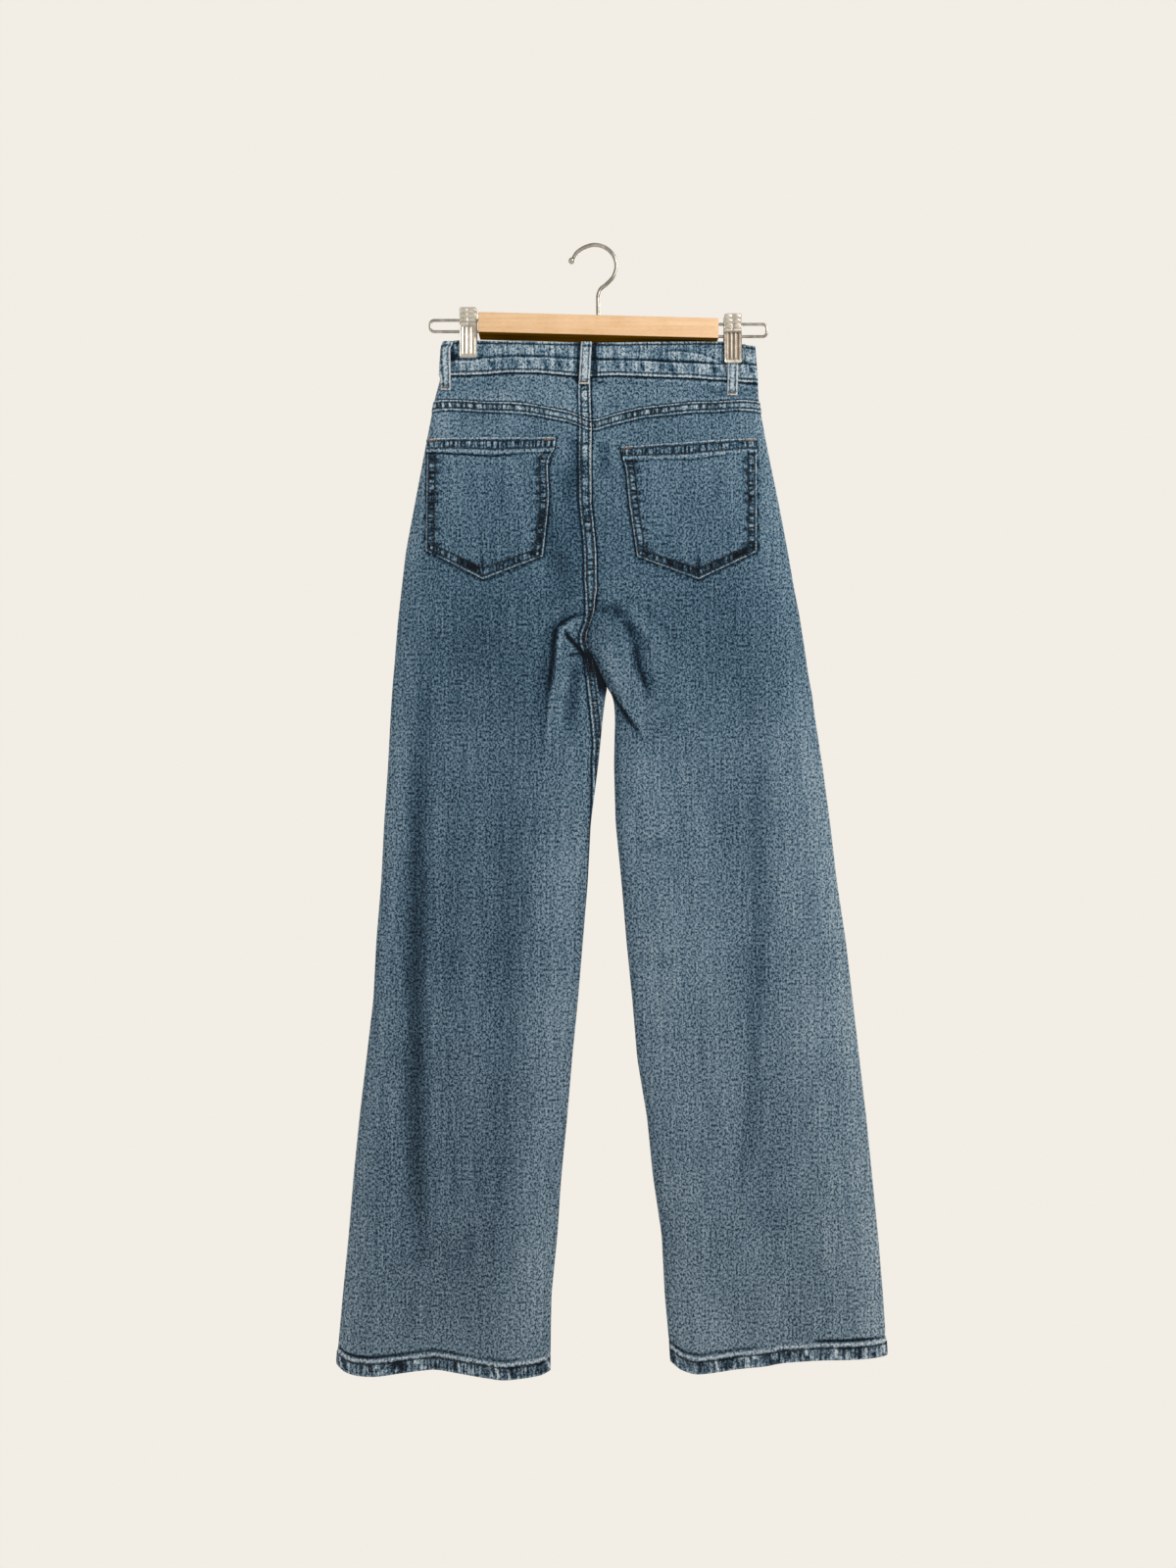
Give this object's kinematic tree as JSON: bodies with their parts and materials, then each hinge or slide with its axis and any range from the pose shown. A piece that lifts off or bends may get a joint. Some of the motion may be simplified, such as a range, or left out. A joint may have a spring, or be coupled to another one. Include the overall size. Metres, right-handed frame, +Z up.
{
  "type": "wide-leg jeans on a wooden trouser hanger",
  "caption": "Full-length wide-leg denim jeans hung upright by the waistband from a small clip hanger with a wooden bar and wire hook.",
  "frame": {"origin": "inside top of the hook, where the rod or nail that it hangs on bears", "axes": "+Z up, the garment's back faces -Y, the wearer's left is at -X"},
  "size_m": [0.5625, 0.0439, 1.1511],
  "materials": {
    "denim": "washed indigo twill",
    "button": "aged",
    "bar": "satin lacquer",
    "wire": "bright nickel plate",
    "clip": "bright nickel plate"
  },
  "bodies": {
    "root": {"back_left": "denim", "back_right": "denim", "front_left": "denim", "front_right": "denim", "yoke_left": "denim", "yoke_right": "denim", "waistband": "denim", "pocket_back_left": "denim", "pocket_back_right": "denim", "pocket_facing_left": "denim", "pocket_facing_right": "denim", "belt_loop_back": "denim", "belt_loop_back_left": "denim", "belt_loop_back_right": "denim", "belt_loop_front_left": "denim", "belt_loop_front_right": "denim", "button": "button", "hanger_bar": "bar", "hanger_hook": "wire", "hanger_hook_ball": "wire", "hanger_rail_left": "wire", "hanger_rail_right": "wire", "clip_left_back": "clip", "clip_left_front": "clip", "clip_right_back": "clip", "clip_right_front": "clip"}
  },
  "joints": []
}
